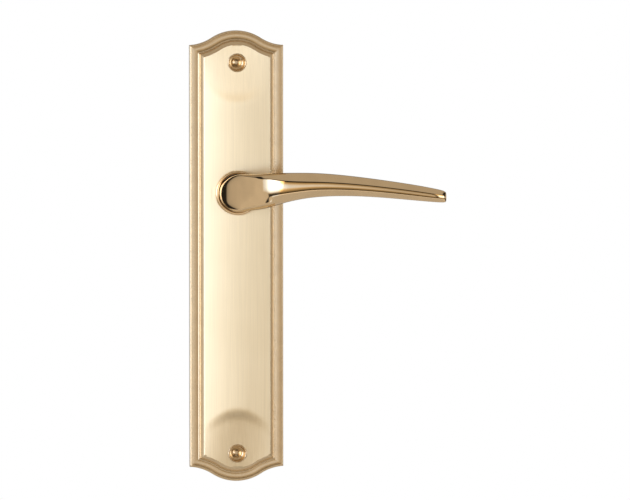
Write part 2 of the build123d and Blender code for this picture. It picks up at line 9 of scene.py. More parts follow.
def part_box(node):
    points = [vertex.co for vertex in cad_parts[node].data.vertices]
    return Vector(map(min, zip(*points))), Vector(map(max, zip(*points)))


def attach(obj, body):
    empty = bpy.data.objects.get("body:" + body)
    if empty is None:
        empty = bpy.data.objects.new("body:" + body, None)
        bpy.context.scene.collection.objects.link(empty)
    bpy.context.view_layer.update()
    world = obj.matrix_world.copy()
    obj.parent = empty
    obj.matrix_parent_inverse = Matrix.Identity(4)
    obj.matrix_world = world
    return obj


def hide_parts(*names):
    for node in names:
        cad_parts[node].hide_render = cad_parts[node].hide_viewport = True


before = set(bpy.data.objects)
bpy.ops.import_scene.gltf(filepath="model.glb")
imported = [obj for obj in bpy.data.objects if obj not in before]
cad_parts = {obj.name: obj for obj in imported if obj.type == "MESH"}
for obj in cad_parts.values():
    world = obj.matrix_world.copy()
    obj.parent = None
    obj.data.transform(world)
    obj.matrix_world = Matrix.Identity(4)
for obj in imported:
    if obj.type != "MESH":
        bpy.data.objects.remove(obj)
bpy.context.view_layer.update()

bl_info = {
    "name": "Lever Handle on Backplate",
    "version": (1, 0, 0),
    "blender": (4, 5, 0),
    "location": "View3D > Sidebar > Door Handle",
    "description": "Builds the visible pieces of a lever door handle round its packed frame",
    "category": "Object",
}

# ---- the frame ------------------------------------------------------------------
# Everything is in metres. The origin is the spindle axis on the door's face, +X runs
# along the lever, +Y into the door and +Z up. "Height" is height off the door, -Y.
MM = 0.001
PLATE_LOW, PLATE_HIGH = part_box("face_plate")
COLLAR_LOW, COLLAR_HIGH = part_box("neck_collar")
CUPS_LOW, CUPS_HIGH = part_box("screw_cups")
SCREWS_LOW, SCREWS_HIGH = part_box("fixing_screws")
LEVER_LOW, LEVER_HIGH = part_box("lever_handle")
BUSH_LOW, BUSH_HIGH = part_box("neck_bush")
WASHER_LOW, WASHER_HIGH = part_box("thrust_washer")
DISC_LOW, DISC_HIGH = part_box("disc_spring")
RING_LOW, RING_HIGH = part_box("retaining_ring")

CUP_RADIUS = (CUPS_HIGH.x - CUPS_LOW.x) / 2
CUP_LEVELS = (CUPS_HIGH.z - CUP_RADIUS, CUPS_LOW.z + CUP_RADIUS)
# heights of the plate's seats for the cups' lips and for the collar
CUP_SEAT = 8.1 * MM
COLLAR_SEAT = 8.8 * MM
SPIGOT_RADIUS = 10.4 * MM
# play between pieces that fit into each other
PLAY = 0.05 * MM
# points closer than this are merged
SAME_PLACE = 0.002 * MM
# a radius under this is on the axis
ON_AXIS = 0.001 * MM
# the arris sharpness at which the lever's sections are as crisp as they say
FULL_CRISPNESS = 0.75


def colour(text):
    """Turns an sRGB hex value such as C9A86A into a linear colour."""
    channels = [int(text[i : i + 2], 16) / 255 for i in (0, 2, 4)]
    return [c / 12.92 if c <= 0.04045 else ((c + 0.055) / 1.055) ** 2.4 for c in channels]


# ---- settings -------------------------------------------------------------------
def length(name, description, millimetres):
    """A length setting, from its default in millimetres."""
    return FloatProperty(
        name=name, description=description, default=millimetres * MM, unit="LENGTH"
    )


def angle(name, description, degrees):
    """An angle setting, from its default in degrees."""
    return FloatProperty(
        name=name, description=description, default=math.radians(degrees), subtype="ANGLE"
    )


def tone(name, description, text):
    """A colour setting, from its default as an sRGB hex value."""
    return FloatVectorProperty(
        name=name, description=description, default=colour(text), subtype="COLOR"
    )


class DoorHandlePlateSettings(bpy.types.PropertyGroup):
    end_rise: length("End rise", "How far the arched end rises over its shoulders", 7.75)
    end_start_slope: angle(
        "End start slope", "Slope of the arched end where it leaves the plate's side", 3.0
    )
    hollow_reach: length(
        "Hollow reach", "How far the end's hollow arc reaches in from the side", 12.1
    )
    panel_inset: length("Panel inset", "Width of the moulded border", 7.5)
    panel_edge: length("Panel edge height", "Height of the panel's edge off the door", 8.2)
    panel_crown: length("Panel crown", "Height of the panel's crown over its edge", 1.6)
    run_out_start: length(
        "Run-out start",
        "How far from the plate's middle the crown starts to run out, on its middle line",
        81,
    )
    run_out_bow: length(
        "Run-out bow", "How much further out the run-out starts at the panel's sides", 9
    )
    run_out_length: length("Run-out length", "Length of the run-out", 6.5)
    wall: length("Wall", "Thickness of the forging's wall", 1.5)
    columns: IntProperty(name="Columns", description="Faces across the panel", default=64, min=8)
    rows: IntProperty(name="Rows", description="Faces along the panel", default=150, min=16)


class DoorHandleScrewSettings(bpy.types.PropertyGroup):
    bore_radius: length("Cup bore", "Radius inside the cup's lip", 4.25)
    lip_height: length("Lip height", "Height of the cup's rolled lip", 0.55)
    floor_height: length("Floor height", "Height of the cup's floor off the door", 3.4)
    head_radius: length("Head radius", "Radius of the screw's head", 2.85)
    head_crown: length("Head crown", "Height of the raised head", 0.7)
    shank_radius: length("Shank radius", "Radius of the plain shank", 1.5)
    thread_pitch: length("Thread pitch", "Pitch of the wood thread", 1.6)
    recess_width: length("Recess width", "Width of the cross recess", 0.75)
    recess_reach: length("Recess reach", "Reach of the cross recess from the axis", 1.75)


class DoorHandleLeverSettings(bpy.types.PropertyGroup):
    neck_radius: length("Neck radius", "Radius of the round neck", 10.0)
    journal_radius: length("Journal radius", "Radius of the bearing journal behind the neck", 7.5)
    grip_start: length("Grip start", "Reach at which the elbow becomes the grip", 31.0)
    grip_back: length("Grip back", "Height of the grip's back face off the door", 40.6)
    front_return: length("Front return", "How far the front falls back at the tip", 8.0)
    back_return: length("Back return", "How far the back falls back at the tip", 3.1)
    facet_crown: FloatProperty(
        name="Facet crown",
        description="Rise of the front facet's middle, as a share of its half height",
        default=0.13,
    )
    arris_crease: FloatProperty(
        name="Arris sharpness",
        description="How crisp the lever's arrises are, from 0 to 1",
        default=FULL_CRISPNESS,
        min=0.0,
        max=1.0,
    )
    smoothing: IntProperty(
        name="Smoothing", description="Subdivision levels", default=3, min=0, max=4
    )


class DoorHandleFinishSettings(bpy.types.PropertyGroup):
    satin_brass: tone("Satin brass", "Brushed and lacquered brass", "FCECCB")
    polished_brass: tone("Polished brass", "Polished and lacquered brass", "F6DDB8")
    moulding_brass: tone("Moulding brass", "Glossed brass of the border, cups and screws", "EDD8B7")
    turned_brass: tone("Turned brass", "Bare turned brass", "CDAA6B")
    zinc: tone("Zinc plate", "Zinc plated pressed steel", "C4C7C9")
    bright_steel: tone("Bright steel", "Drawn steel bar", "B9BABB")
    spring_steel: tone("Spring steel", "Oiled spring steel", "6E7074")
    black_steel: tone("Black steel", "Black oxide on steel", "2A2B2D")
    nylon: tone("Nylon", "Natural moulded nylon", "E9E6DC")


class DoorHandleStageSettings(bpy.types.PropertyGroup):
    azimuth: angle("Azimuth", "Camera's turn round the handle", -6.5)
    elevation: angle("Elevation", "Camera's height angle", 3.5)
    distance: length("Distance", "Camera's distance from the plate", 3200)
    frame_width: length("Frame width", "Width that the camera takes in at the plate", 335.2)
    floor_drop: length("Floor drop", "Depth of the floor under the spindle", 300)


def settings(name):
    """One group of this handle's settings, as the sidebar shows them."""
    return getattr(bpy.context.scene, "door_handle_" + name)


# ---- meshes ---------------------------------------------------------------------
def at(x, height, z):
    """A point by its reach along the lever, its height off the door and its level."""
    return Vector((x, -height, z))


def mesh_data(name, mesh):
    """Turns a bmesh into mesh data and frees it."""
    data = bpy.data.meshes.new(name)
    mesh.to_mesh(data)
    mesh.free()
    return data


def linked(name, data):
    """A new object in the scene."""
    made = bpy.data.objects.new(name, data)
    bpy.context.scene.collection.objects.link(made)
    return made


def evaluated_mesh(source):
    """A bmesh of an object with its modifiers applied."""
    evaluated = source.evaluated_get(bpy.context.evaluated_depsgraph_get())
    mesh = bmesh.new()
    mesh.from_mesh(evaluated.to_mesh())
    evaluated.to_mesh_clear()
    return mesh


def discard(helper):
    """Removes a helper object with its data."""
    data = helper.data
    bpy.data.objects.remove(helper)
    bpy.data.meshes.remove(data)


def finish_piece(name, mesh, body, nodes, slot, sharp=30.0, finishes=()):
    """Turns a bmesh into a piece that rides on a body and stands for its CAD nodes.

    finishes are the finishes of its faces by material index, where they aren't the slot's.
    """
    data = mesh_data(name, mesh)
    data.shade_smooth()
    data.set_sharp_from_angle(angle=math.radians(sharp))
    piece = linked(name, data)
    for finish in finishes or (slot,):
        data.materials.append(finish_for(finish))
    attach(piece, body)
    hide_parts(*nodes)
    return piece


def settle_normals(mesh):
    """Merges doubles and turns every face of a closed shell outwards."""
    bmesh.ops.remove_doubles(mesh, verts=mesh.verts, dist=SAME_PLACE)
    bmesh.ops.recalc_face_normals(mesh, faces=mesh.faces)


def turn_profile(mesh, profile, level=0.0, steps=96):
    """Spins a (radius, height) profile about the spindle's direction at one level.

    The profile is closed, but for the side that would lie on the axis.
    """
    points = [mesh.verts.new(at(r, height, level)) for r, height in profile]
    pairs = list(zip(points, points[1:] + points[:1]))
    if profile[0][0] < ON_AXIS and profile[-1][0] < ON_AXIS:
        pairs.pop()
    edges = [mesh.edges.new(pair) for pair in pairs]
    bmesh.ops.spin(
        mesh,
        geom=points + edges,
        cent=at(0, 0, level),
        axis=(0, 1, 0),
        angle=math.tau,
        steps=steps,
        use_merge=True,
        use_duplicate=False,
    )
    bmesh.ops.remove_doubles(mesh, verts=mesh.verts, dist=SAME_PLACE)


def add_turned_shell(mesh, profile):
    """Adds a turned profile to a bmesh as a closed shell of its own."""
    shell = bmesh.new()
    turn_profile(shell, profile)
    settle_normals(shell)
    data = mesh_data("shell", shell)
    mesh.from_mesh(data)
    bpy.data.meshes.remove(data)


def rounded(corners, radius, steps=4):
    """The same closed profile of (radius, height) corners, with each of them rounded over.

    Rounding takes less than half of a side. A corner on the axis stays as it is.
    """
    most = 0.45
    points = []
    count = len(corners)
    for i, corner in enumerate(corners):
        here = Vector(corner)
        before = Vector(corners[i - 1]) - here
        after = Vector(corners[(i + 1) % count]) - here
        reach = min(radius, before.length * most, after.length * most)
        if corner[0] < ON_AXIS:
            points.append(tuple(here))
            continue
        start = here + before.normalized() * reach
        end = here + after.normalized() * reach
        for k in range(steps + 1):
            t = k / steps
            points.append(tuple(start * (1 - t) ** 2 + here * 2 * t * (1 - t) + end * t**2))
    return points


def cut_away(piece_mesh, cutter_mesh):
    """Cuts one closed bmesh out of another with an exact boolean, and gives the result."""
    work = linked("work", mesh_data("work", piece_mesh))
    cutter = linked("cutter", mesh_data("cutter", cutter_mesh))
    modifier = work.modifiers.new("Cut", "BOOLEAN")
    modifier.object = cutter
    modifier.operation = "DIFFERENCE"
    modifier.solver = "EXACT"
    result = evaluated_mesh(work)
    discard(work)
    discard(cutter)
    # slivers that the boolean leaves back to back on the same corners
    sliver = 0.0005 * MM
    bmesh.ops.remove_doubles(result, verts=result.verts, dist=sliver)
    bmesh.ops.triangulate(result, faces=[face for face in result.faces if len(face.verts) > 4])
    found = {}
    for face in result.faces:
        found.setdefault(frozenset(vert.index for vert in face.verts), []).append(face)
    folded = [face for group in found.values() if len(group) > 1 for face in group]
    bmesh.ops.delete(result, geom=folded, context="FACES")
    return result


def refined_copy(node, body, slot, edge=0.08 * MM):
    """A copy of a CAD node with its doubles merged and its sharp edges softly broken."""
    mesh = bmesh.new()
    mesh.from_mesh(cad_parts[node].data)
    bmesh.ops.remove_doubles(mesh, verts=mesh.verts, dist=SAME_PLACE)
    bmesh.ops.dissolve_limit(
        mesh,
        angle_limit=math.radians(1.0),
        verts=mesh.verts,
        edges=mesh.edges,
        use_dissolve_boundaries=False,
    )
    piece = finish_piece(node + "_finished", mesh, body, [node], slot)
    bevel = piece.modifiers.new("Broken edges", "BEVEL")
    bevel.width = edge
    bevel.segments = 2
    bevel.limit_method = "ANGLE"
    bevel.angle_limit = math.radians(35)
    bevel.harden_normals = True


# ---- finishes -------------------------------------------------------------------
def new_finish(name, values):
    """A node material with a Principled shader: (material, tree, shader, coordinates)."""
    material = bpy.data.materials.new(name)
    material.use_nodes = True
    tree = material.node_tree
    tree.nodes.clear()
    shader = add_node(tree, "ShaderNodeBsdfPrincipled", values=values)
    add_node(tree, "ShaderNodeOutputMaterial", links={"Surface": shader.outputs["BSDF"]})
    place = add_node(tree, "ShaderNodeTexCoord").outputs["Object"]
    return material, tree, shader, place


def add_node(tree, kind, options=None, values=None, links=None, stops=()):
    """Adds one node. options are its own settings, values and links are by input name.

    stops are a colour ramp's (place, colour) pairs.
    """
    node = tree.nodes.new(kind)
    for key, value in (options or {}).items():
        setattr(node, key, value)
    for key, value in (values or {}).items():
        node.inputs[key].default_value = value
    for key, socket in (links or {}).items():
        tree.links.new(socket, node.inputs[key])
    for stop, (place, shown) in enumerate(stops):
        node.color_ramp.elements[stop].position = place
        node.color_ramp.elements[stop].color = (*shown, 1)
    return node


def shade(base, factor):
    """A lighter or darker version of a linear colour."""
    return [min(1.0, c * factor) for c in base]


def vary(tree, shader, base, shades=None, gloss=None, relief=None):
    """Lets patterns vary a finish.

    shades is (pattern, low, high, dark, light) for its colour, gloss is (pattern, low, high,
    smooth, rough) for its roughness, and relief is (pattern, strength, depth).
    """
    if shades:
        pattern, low, high, dark, light = shades
        stops = ((low, shade(base, dark)), (high, shade(base, light)))
        tint = add_node(tree, "ShaderNodeValToRGB", links={"Fac": pattern}, stops=stops)
        tree.links.new(tint.outputs["Color"], shader.inputs["Base Color"])
    if gloss:
        pattern, low, high, smooth, rough = gloss
        ends = {"From Min": low, "From Max": high, "To Min": smooth, "To Max": rough}
        spread = add_node(tree, "ShaderNodeMapRange", values=ends, links={"Value": pattern})
        tree.links.new(spread.outputs["Result"], shader.inputs["Roughness"])
    if relief:
        pattern, strength, depth = relief
        height = {"Strength": strength, "Distance": depth}
        bump = add_node(tree, "ShaderNodeBump", values=height, links={"Height": pattern})
        tree.links.new(bump.outputs["Normal"], shader.inputs["Normal"])


def satin_brass():
    """Forged brass brushed along the plate and lacquered.

    The brush leaves fine lines that run up and down, so a light spreads sideways into a
    wide soft glow and stays crisp from top to bottom.
    """
    base = settings("finish").satin_brass
    values = {"Metallic": 1.0, "Anisotropic": 0.9, "Coat Weight": 0.2, "Coat Roughness": 0.12}
    material, tree, shader, place = new_finish("satin_brushed_brass", values)
    # the lines are 0.1 to 0.3 mm apart, drawn at 0.45 mm so that they show, and 40 mm long
    lines = add_node(
        tree,
        "ShaderNodeMapping",
        values={"Scale": (1 / (0.45 * MM), 1 / (0.45 * MM), 1 / (40 * MM))},
        links={"Vector": place},
    )
    brush = add_node(
        tree,
        "ShaderNodeTexNoise",
        values={"Scale": 1.0, "Detail": 3.0, "Roughness": 0.6},
        links={"Vector": lines.outputs["Vector"]},
    )
    # the lacquer varies slowly over about 30 mm
    cloud = add_node(
        tree,
        "ShaderNodeTexNoise",
        values={"Scale": 1 / (30 * MM), "Detail": 2.0, "Roughness": 0.5},
        links={"Vector": place},
    )
    tint = add_node(
        tree,
        "ShaderNodeValToRGB",
        links={"Fac": brush.outputs["Fac"]},
        stops=((0.3, shade(base, 0.95)), (0.7, shade(base, 1.03))),
    )
    lacquer = add_node(
        tree,
        "ShaderNodeValToRGB",
        links={"Fac": cloud.outputs["Fac"]},
        stops=((0.35, (0.97, 0.965, 0.95)), (0.65, (1, 1, 1))),
    )
    mixed = add_node(
        tree,
        "ShaderNodeMix",
        options={"data_type": "RGBA", "blend_type": "MULTIPLY"},
        values={0: 1.0},
        links={6: tint.outputs["Color"], 7: lacquer.outputs["Color"]},
    )
    tree.links.new(mixed.outputs[2], shader.inputs["Base Color"])
    across = add_node(tree, "ShaderNodeCombineXYZ", values={"X": 1.0})
    tree.links.new(across.outputs["Vector"], shader.inputs["Tangent"])
    vary(
        tree,
        shader,
        base,
        gloss=(brush.outputs["Fac"], 0.3, 0.7, 0.32, 0.40),
        relief=(brush.outputs["Fac"], 0.06, 0.02 * MM),
    )
    return material


def polished_brass(
    tone_of="polished_brass", name="polished_lacquered_brass", smooth=0.045, rough=0.09
):
    """Cast and forged brass polished on a mop and lacquered.

    A mirror finish: the room shows in it tinted gold, with only the faint waviness and
    hairlines that hand polishing leaves.
    """
    base = getattr(settings("finish"), tone_of)
    material, tree, shader, place = new_finish(name, {"Metallic": 1.0})
    # polishing waves some 6 mm long, a few microns deep
    waves = add_node(
        tree,
        "ShaderNodeTexNoise",
        values={"Scale": 1 / (6 * MM), "Detail": 1.0, "Roughness": 0.4},
        links={"Vector": place},
    )
    # hairlines, drawn 0.5 mm apart so that they show
    hairs = add_node(
        tree,
        "ShaderNodeTexNoise",
        values={"Scale": 1 / (0.5 * MM), "Detail": 2.0, "Roughness": 0.7},
        links={"Vector": place},
    )
    vary(
        tree,
        shader,
        base,
        shades=(waves.outputs["Fac"], 0.3, 0.7, 0.96, 1.02),
        gloss=(hairs.outputs["Fac"], 0.3, 0.7, smooth, rough),
        relief=(waves.outputs["Fac"], 0.04, 0.05 * MM),
    )
    return material


def glossed_brass():
    """The border, cups and screws: too fine for the mop, so tumbled before the lacquer."""
    return polished_brass("moulding_brass", "glossed_moulding_brass", 0.2, 0.26)


def turned_brass():
    """Bare brass off the lathe, with tool marks that ring the axis and a dull tarnish."""
    base = settings("finish").turned_brass
    material, tree, shader, place = new_finish("bare_turned_brass", {"Metallic": 1.0})
    rings = add_node(
        tree,
        "ShaderNodeTexWave",
        options={"wave_type": "RINGS", "rings_direction": "Y"},
        values={"Scale": 1 / (0.4 * MM) / math.tau, "Distortion": 0.6, "Detail": 1.0},
        links={"Vector": place},
    )
    stain = add_node(
        tree,
        "ShaderNodeTexNoise",
        values={"Scale": 1 / (4 * MM), "Detail": 4.0, "Roughness": 0.6},
        links={"Vector": place},
    )
    vary(
        tree,
        shader,
        base,
        shades=(stain.outputs["Fac"], 0.35, 0.65, 0.78, 1.05),
        gloss=(rings.outputs["Fac"], 0.0, 1.0, 0.28, 0.42),
    )
    return material


def plated_steel():
    """Pressed steel with bright zinc plate, which shows faint spangle and rolling marks."""
    base = settings("finish").zinc
    material, tree, shader, place = new_finish("zinc_plated_pressed_steel", {"Metallic": 1.0})
    spangle = add_node(
        tree,
        "ShaderNodeTexVoronoi",
        values={"Scale": 1 / (2.2 * MM), "Randomness": 1.0},
        links={"Vector": place},
    )
    grain = add_node(
        tree,
        "ShaderNodeTexNoise",
        values={"Scale": 1 / (0.6 * MM), "Detail": 3.0, "Roughness": 0.6},
        links={"Vector": place},
    )
    grey = add_node(tree, "ShaderNodeRGBToBW", links={"Color": spangle.outputs["Color"]})
    vary(
        tree,
        shader,
        base,
        shades=(grey.outputs["Val"], 0.2, 0.8, 0.86, 1.08),
        gloss=(grain.outputs["Fac"], 0.3, 0.7, 0.26, 0.42),
    )
    return material


def bright_steel():
    """Cold drawn square bar, with draw lines that run along it."""
    base = settings("finish").bright_steel
    values = {"Metallic": 1.0, "Anisotropic": 0.3}
    material, tree, shader, place = new_finish("cold_drawn_bright_steel", values)
    lines = add_node(
        tree,
        "ShaderNodeMapping",
        values={"Scale": (1 / (0.3 * MM), 1 / (25 * MM), 1 / (0.3 * MM))},
        links={"Vector": place},
    )
    draw = add_node(
        tree,
        "ShaderNodeTexNoise",
        values={"Scale": 1.0, "Detail": 3.0, "Roughness": 0.6},
        links={"Vector": lines.outputs["Vector"]},
    )
    vary(
        tree,
        shader,
        base,
        shades=(draw.outputs["Fac"], 0.3, 0.7, 0.82, 1.06),
        gloss=(draw.outputs["Fac"], 0.3, 0.7, 0.24, 0.38),
    )
    return material


def spring_steel():
    """Hardened and tempered strip, blued grey with a thin film of oil."""
    base = settings("finish").spring_steel
    values = {"Metallic": 1.0, "Coat Weight": 0.3, "Coat Roughness": 0.1}
    material, tree, shader, place = new_finish("oiled_spring_steel", values)
    temper = add_node(
        tree,
        "ShaderNodeTexNoise",
        values={"Scale": 1 / (3 * MM), "Detail": 3.0, "Roughness": 0.55},
        links={"Vector": place},
    )
    vary(
        tree,
        shader,
        base,
        shades=(temper.outputs["Fac"], 0.35, 0.65, 0.75, 1.15),
        gloss=(temper.outputs["Fac"], 0.3, 0.7, 0.3, 0.42),
    )
    return material


def black_steel():
    """Black oxide on a set screw: a dark satin skin that has rubbed thin in places."""
    base = settings("finish").black_steel
    values = {"Metallic": 1.0, "Roughness": 0.45}
    material, tree, shader, place = new_finish("black_oxide_steel", values)
    rub = add_node(
        tree,
        "ShaderNodeTexNoise",
        values={"Scale": 1 / (0.8 * MM), "Detail": 4.0, "Roughness": 0.6},
        links={"Vector": place},
    )
    vary(
        tree,
        shader,
        base,
        shades=(rub.outputs["Fac"], 0.45, 0.75, 1.0, 2.5),
    )
    return material


def natural_nylon():
    """Moulded nylon: a milky plastic that lets a little light in, with a fine mould grain."""
    base = settings("finish").nylon
    values = {"Roughness": 0.42, "IOR": 1.53}
    material, tree, shader, place = new_finish("natural_moulded_nylon", values)
    grain = add_node(
        tree,
        "ShaderNodeTexNoise",
        values={"Scale": 1 / (0.25 * MM), "Detail": 3.0, "Roughness": 0.5},
        links={"Vector": place},
    )
    vary(
        tree,
        shader,
        base,
        shades=(grain.outputs["Fac"], 0.35, 0.65, 0.95, 1.03),
        relief=(grain.outputs["Fac"], 0.2, 0.02 * MM),
    )
    return material


MAKERS = {
    "satin_brass": satin_brass,
    "polished_brass": polished_brass,
    "glossed_brass": glossed_brass,
    "turned_brass": turned_brass,
    "zinc_plated_steel": plated_steel,
    "bright_steel": bright_steel,
    "spring_steel": spring_steel,
    "black_steel": black_steel,
    "white_nylon": natural_nylon,
}
MADE = {}


def finish_for(name):
    """The finish of one name, made the first time it is asked for."""
    if name not in MADE:
        MADE[name] = MAKERS[name]()
    return MADE[name]


# ---- backplate ------------------------------------------------------------------
class EndCurve:
    """The plate's arched end: a hollow arc from the side that meets a round crown arc."""

    def __init__(self, plate, half_width, half_height):
        slope = plate.end_start_slope
        share = math.tan(slope / 2)
        crown_reach = half_width - plate.hollow_reach
        whole = half_width + plate.end_rise * share
        rise = plate.end_rise - plate.hollow_reach * share
        root = math.sqrt(whole**2 - 4 * crown_reach * share * rise)
        self.joint = 2 * math.atan(2 * rise / (whole + root))
        self.hollow = plate.hollow_reach / (math.sin(self.joint) - math.sin(slope))
        self.crown = crown_reach / math.sin(self.joint)
        self.hollow_x = half_width + self.hollow * math.sin(slope)
        self.hollow_z = half_height - plate.end_rise + self.hollow * math.cos(slope)
        self.crown_z = half_height - self.crown

    def level(self, x, inset):
        """The end's level over the plate's middle at one reach, for an inset outline."""
        x = abs(x)
        crown = self.crown - inset
        if x < crown * math.sin(self.joint):
            return self.crown_z + math.sqrt(crown**2 - x**2)
        hollow = self.hollow + inset
        return self.hollow_z - math.sqrt(hollow**2 - (self.hollow_x - x) ** 2)


# material indices of the plate's faces, after the brushed panel's 0
POLISHED = 1
AS_FORGED = 2
# shares of the panel's crown that the run-out's arc and the fall to the end take away
RUN_OUT_SHARE = 0.1
END_FALL_SHARE = 0.88
# how strongly the panel's rows close up towards both ends
CLOSING_UP = 0.3


def border_profile():
    """(inset, height) steps of the border, from the panel's edge out to the door's face."""
    # the bevel that falls from the panel's edge, the groove at its foot and the fine ridge
    corners = [(7.4, 8.17), (7.28, 8.07), (5.75, 6.42), (5.64, 6.22), (5.54, 5.62), (5.44, 5.42)]
    corners += [(5.3, 5.37), (5.16, 5.45), (5.02, 5.51), (4.8, 5.51), (4.66, 5.45), (4.54, 5.28)]
    corners += [(4.42, 5.21), (4.26, 5.23)]
    # the broad band, a little proud in its middle
    for k in range(9):
        share = k / 8
        corners.append((4.1 - 2.95 * share, 5.26 + 0.1 * math.sin(math.pi * share)))
    # the step down to the rim, and the rim's rounded edge
    corners += [(1.06, 5.16), (0.92, 4.66), (0.8, 4.58), (0.5, 4.62), (0.3, 4.56), (0.12, 4.38)]
    corners += [(0.02, 4.15), (0, 3.9), (0, 2.8), (0, 1.4)]
    # the small chamfer at the door's face
    corners += [(0, 0.12), (0.04, 0.03), (0.14, 0)]
    return [(inset * MM, height * MM) for inset, height in corners]


def stepped_hole(narrow, wide, seat):
    """A cutter's profile for a hole that widens at its seat, through the whole plate."""
    back, front = -2 * MM, 14 * MM
    profile = [(0, back), (narrow, back), (narrow, seat), (wide, seat)]
    return profile + [(wide, front), (0, front)]


def extrude_border(mesh, verts, steps, place, finish):
    """Extrudes the open border of some vertices outwards, one loop to a profile step.

    finish is the material index of the faces it makes.
    """
    along = mesh.verts.layers.float["u"]
    up = mesh.verts.layers.float["v"]
    inside = set(verts)
    edges = [e for e in mesh.edges if e.is_boundary and e.verts[0] in inside]
    for inset, height in steps:
        made = bmesh.ops.extrude_edge_only(mesh, edges=edges)["geom"]
        for vert in made:
            if isinstance(vert, bmesh.types.BMVert):
                vert.co = place(vert[along], vert[up], inset, height)
            elif isinstance(vert, bmesh.types.BMFace):
                vert.material_index = finish
        edges = [e for e in made if isinstance(e, bmesh.types.BMEdge) and e.is_boundary]


def build_plate_mesh(plate):
    """The forged plate: crowned panel, moulded border, open back, and its three holes."""
    half_width = (PLATE_HIGH.x - PLATE_LOW.x) / 2
    half_height = (PLATE_HIGH.z - PLATE_LOW.z) / 2
    middle = (PLATE_HIGH.z + PLATE_LOW.z) / 2
    ends = EndCurve(plate, half_width, half_height)
    end_reach = half_height - plate.panel_inset
    panel_half = half_width - plate.panel_inset

    def panel_height(x, z):
        bow = 1 - (x / panel_half) ** 2
        # the crown runs out in an arc, then falls slowly to the end
        past = abs(z - middle) - plate.run_out_start - plate.run_out_bow * (1 - bow)
        step = min(1.0, max(0.0, past / plate.run_out_length))
        step = step * step * (3 - 2 * step)
        fall = min(1.0, max(0.0, past / (end_reach - plate.run_out_start)))
        fade = 1 - RUN_OUT_SHARE * step - END_FALL_SHARE * fall
        return plate.panel_edge + plate.panel_crown * fade * max(0.0, bow)

    def border(u, v, inset, height):
        x = u * (half_width - inset)
        return at(x, height, middle + v * ends.level(x, inset))

    mesh = bmesh.new()
    along = mesh.verts.layers.float.new("u")
    up = mesh.verts.layers.float.new("v")
    ledge = 3.3 * MM
    back_steps = [
        (6.22 * MM, ledge),
        (plate.wall, ledge),
        (plate.wall, 0.1 * MM),
        (plate.wall - 0.1 * MM, 0),
        (0.14 * MM, 0),
    ]
    sheets = (
        (plate.panel_inset, 0.0, border_profile(), POLISHED),
        (plate.panel_inset + plate.wall / 2, plate.wall, back_steps, AS_FORGED),
    )
    for inset, drop, steps, finish in sheets:
        made = bmesh.ops.create_grid(
            mesh, x_segments=plate.columns, y_segments=plate.rows, size=1
        )
        verts = made["verts"]
        for vert in verts:
            u, v = vert.co.x, vert.co.y
            # rows close up towards both ends, where the crown dies away
            v = v * (1 + CLOSING_UP - CLOSING_UP * v * v)
            vert[along], vert[up] = u, v
            place = border(u, v, inset, 0)
            vert.co = at(place.x, panel_height(place.x, place.z) - drop, place.z)
        if drop:
            for face in {face for vert in verts for face in vert.link_faces}:
                face.material_index = AS_FORGED
        extrude_border(mesh, verts, steps, border, finish)
    settle_normals(mesh)
    cutter = bmesh.new()
    cup_hole = 4.75 * MM
    for level in CUP_LEVELS:
        turn_profile(cutter, stepped_hole(cup_hole, CUP_RADIUS + PLAY, CUP_SEAT), level)
    spigot_hole = SPIGOT_RADIUS + PLAY
    collar = (COLLAR_HIGH.x - COLLAR_LOW.x) / 2 + PLAY
    turn_profile(cutter, stepped_hole(spigot_hole, collar, COLLAR_SEAT))
    settle_normals(cutter)
    mesh = cut_away(mesh, cutter)
    # the round hub behind the panel
    hub_radius = 14 * MM
    low, high = 7.1 * MM, 8.85 * MM
    hub = [(spigot_hole, low), (hub_radius, low), (hub_radius, high), (spigot_hole, high)]
    add_turned_shell(mesh, hub)
    return mesh


class DOORHANDLE_OT_plate(bpy.types.Operator):
    """Build the moulded backplate"""

    bl_idname = "doorhandle.plate"
    bl_label = "Backplate"

    def execute(self, context):
        mesh = build_plate_mesh(settings("plate"))
        finish_piece(
            "moulded_backplate",
            mesh,
            "plate",
            ["face_plate"],
            "satin_brass",
            35,
            ("satin_brass", "glossed_brass", "turned_brass"),
        )
        return {"FINISHED"}


# ---- neck collar, bearing and washers -------------------------------------------
def turned_piece(
    name, profile, body, node, slot, round_over, steps=96, levels=(0.0,), finishes=()
):
    """A turned piece with its corners rounded over, at one or more levels."""
    mesh = bmesh.new()
    for level in levels:
        turn_profile(mesh, rounded(profile, round_over), level, steps)
    settle_normals(mesh)
    finish_piece(name, mesh, body, [node], slot, 40, finishes)


